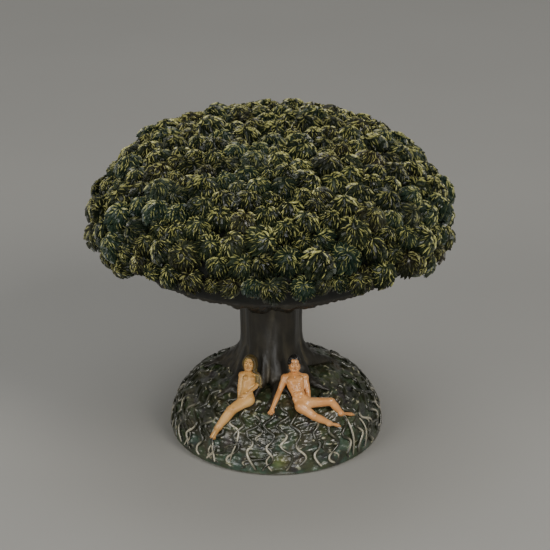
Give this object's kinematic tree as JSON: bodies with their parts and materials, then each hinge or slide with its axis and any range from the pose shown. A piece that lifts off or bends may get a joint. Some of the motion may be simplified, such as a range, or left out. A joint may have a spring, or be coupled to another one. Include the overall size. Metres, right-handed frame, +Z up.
{
  "type": "clay tree of life",
  "caption": "Clay tree of life ornament: domed crown of shaggy leaf tufts on a fluted trunk, over a rooted mound with a reclining woman and man.",
  "frame": {"origin": "on the trunk's axis, at the underside of the felt pad, where the ornament stands", "axes": "+Z up along the trunk, -Y towards the front, where the two figures sit, +X to the right seen from the front"},
  "size_m": [0.2373, 0.2381, 0.2146],
  "materials": {
    "felt": "felt",
    "mound_paint": "dark green and brown paint over clay, glossy lacquer, dry-brushed",
    "bark_paint": "near-black brown paint over clay, satin lacquer",
    "root_paint": "dark paint over clay, dry-brushed cream, glossy lacquer",
    "leaf_paint": "dark green paint over clay, dry-brushed yellow-green, satin lacquer",
    "crown_paint": "dark green-brown paint over clay, satin lacquer",
    "skin_light": "pale tan paint over clay, satin",
    "skin_tan": "orange-tan paint over clay, satin",
    "hair_gold": "golden-brown paint over clay, satin",
    "hair_black": "black paint over clay, satin",
    "steel": "plain steel"
  },
  "bodies": {
    "root": {"base_mound": "mound_paint", "buttress_roots": "bark_paint", "crown_dome": "crown_paint", "crown_floor": "crown_paint", "felt_pad": "felt", "figure_pins": "steel", "leaf_tufts_row_01": "leaf_paint", "leaf_tufts_row_02": "leaf_paint", "leaf_tufts_row_03": "leaf_paint", "leaf_tufts_row_04": "leaf_paint", "leaf_tufts_row_05": "leaf_paint", "leaf_tufts_row_06": "leaf_paint", "leaf_tufts_row_07": "leaf_paint", "leaf_tufts_row_08": "leaf_paint", "leaf_tufts_row_09": "leaf_paint", "leaf_tufts_row_10": "leaf_paint", "leaf_tufts_row_11": "leaf_paint", "limb_forks": "bark_paint", "limbs": "bark_paint", "man_hair": "hair_black", "man_head": "skin_tan", "man_left_arm": "skin_tan", "man_left_leg": "skin_tan", "man_right_arm": "skin_tan", "man_right_leg": "skin_tan", "man_torso": "skin_tan", "rod_nuts": "steel", "rod_washers": "steel", "roots_back": "root_paint", "roots_front": "root_paint", "roots_left": "root_paint", "roots_right": "root_paint", "tie_rod": "steel", "trunk": "bark_paint", "woman_hair": "hair_gold", "woman_head": "skin_light", "woman_left_arm": "skin_light", "woman_left_leg": "skin_light", "woman_right_arm": "skin_light", "woman_right_leg": "skin_light", "woman_torso": "skin_light"}
  },
  "joints": []
}
